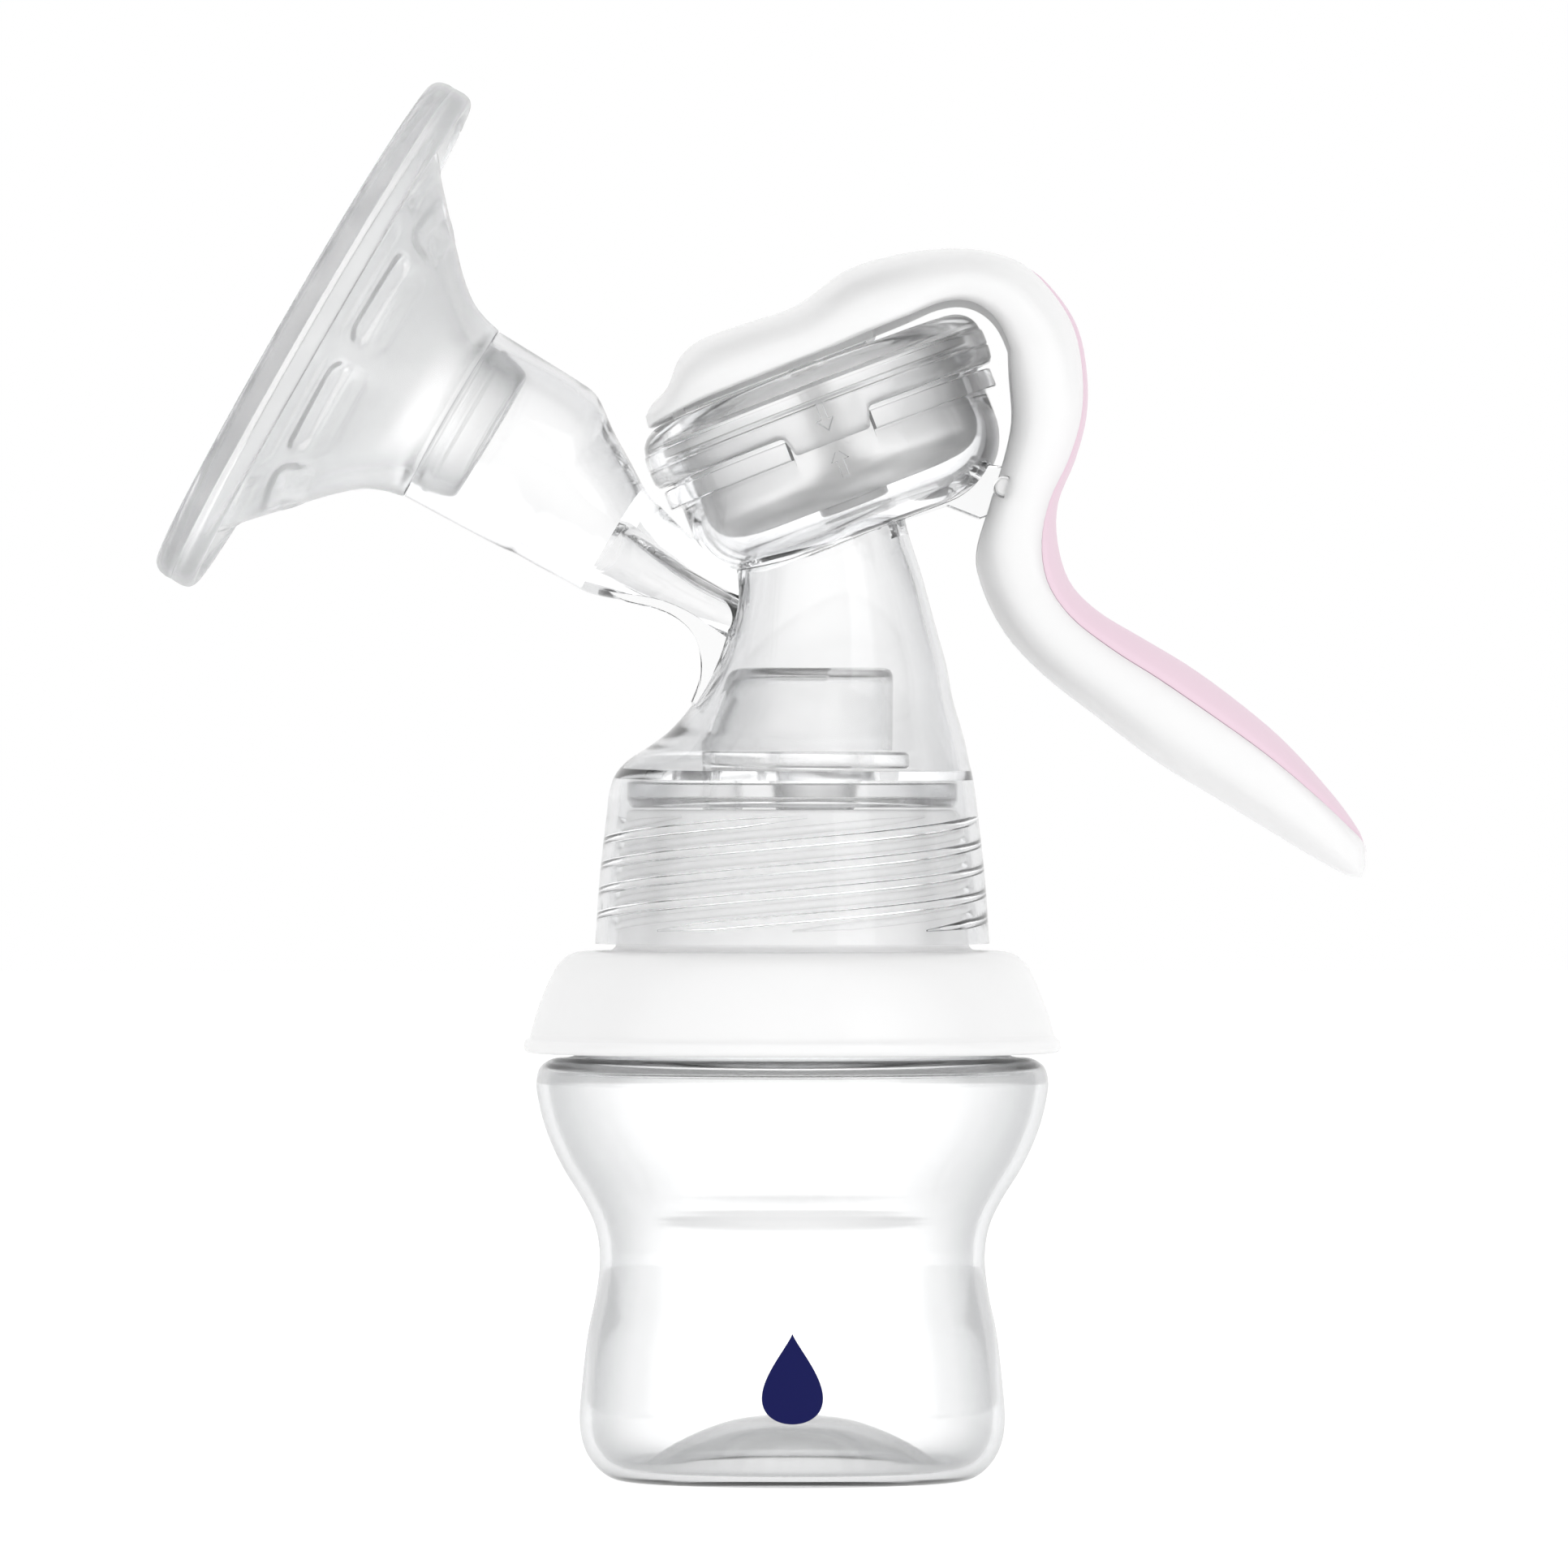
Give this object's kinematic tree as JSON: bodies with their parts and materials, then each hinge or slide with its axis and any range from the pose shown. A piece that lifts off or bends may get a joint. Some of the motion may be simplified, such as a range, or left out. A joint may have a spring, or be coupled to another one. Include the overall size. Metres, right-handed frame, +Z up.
{
  "type": "manual breast pump",
  "caption": "Hand-worked breast pump: soft shield, clear pump body with diaphragm cup, hinged squeeze handle, screw-on bottle.",
  "frame": {"origin": "middle of the whole pump's outline on the surface it stands on; the bottle's axis is 4.25 mm to +X", "axes": "+Z up, along the bottle; +X towards the squeeze handle and -X towards the breast shield; Y across, the hinge's direction"},
  "size_m": [0.1676, 0.0786, 0.1939],
  "materials": {
    "clear_polypropylene": "clear moulded polypropylene, polished",
    "white_polypropylene": "opaque white moulded polypropylene, satin gloss",
    "clear_silicone": "frosted translucent silicone",
    "valve_silicone": "grey translucent silicone",
    "pink_soft_grip": "matt pale pink thermoplastic elastomer",
    "navy_print": "screen-printed navy ink"
  },
  "bodies": {
    "pump": {"bottle": "clear_polypropylene", "bottle_seal": "clear_silicone", "adapter_ring": "white_polypropylene", "skirt_seal": "clear_silicone", "pump_body": "clear_polypropylene", "shield_cushion": "clear_silicone", "valve_baffle": "valve_silicone", "valve_seat": "valve_silicone", "valve_duckbill": "clear_silicone", "diaphragm": "clear_silicone", "cap_ring": "clear_polypropylene"},
    "handle": {"handle_shell": "white_polypropylene", "handle_inlay": "pink_soft_grip", "hinge_pin": "white_polypropylene"},
    "rod": {"pull_rod": "white_polypropylene", "rod_plate": "white_polypropylene"}
  },
  "joints": [
    {"name": "handle_squeeze", "type": "hinge", "parent": "pump", "child": "handle", "pos_m": [0.0335, 0, 0.1376], "axis": [0, 1, 0], "range_deg": [0, 22], "stiffness_Nm_per_rad": 0.6, "springref_deg": -14.32},
    {"name": "rod_pull", "type": "slide", "parent": "pump", "child": "rod", "axis": [-0.3584, 0, 0.9336], "range_m": [0, 0.011], "deforming": ["diaphragm"]}
  ],
  "couplings": [
    {"joint": "rod_pull", "follows": "handle_squeeze", "m_per_rad": 0.0259}
  ]
}
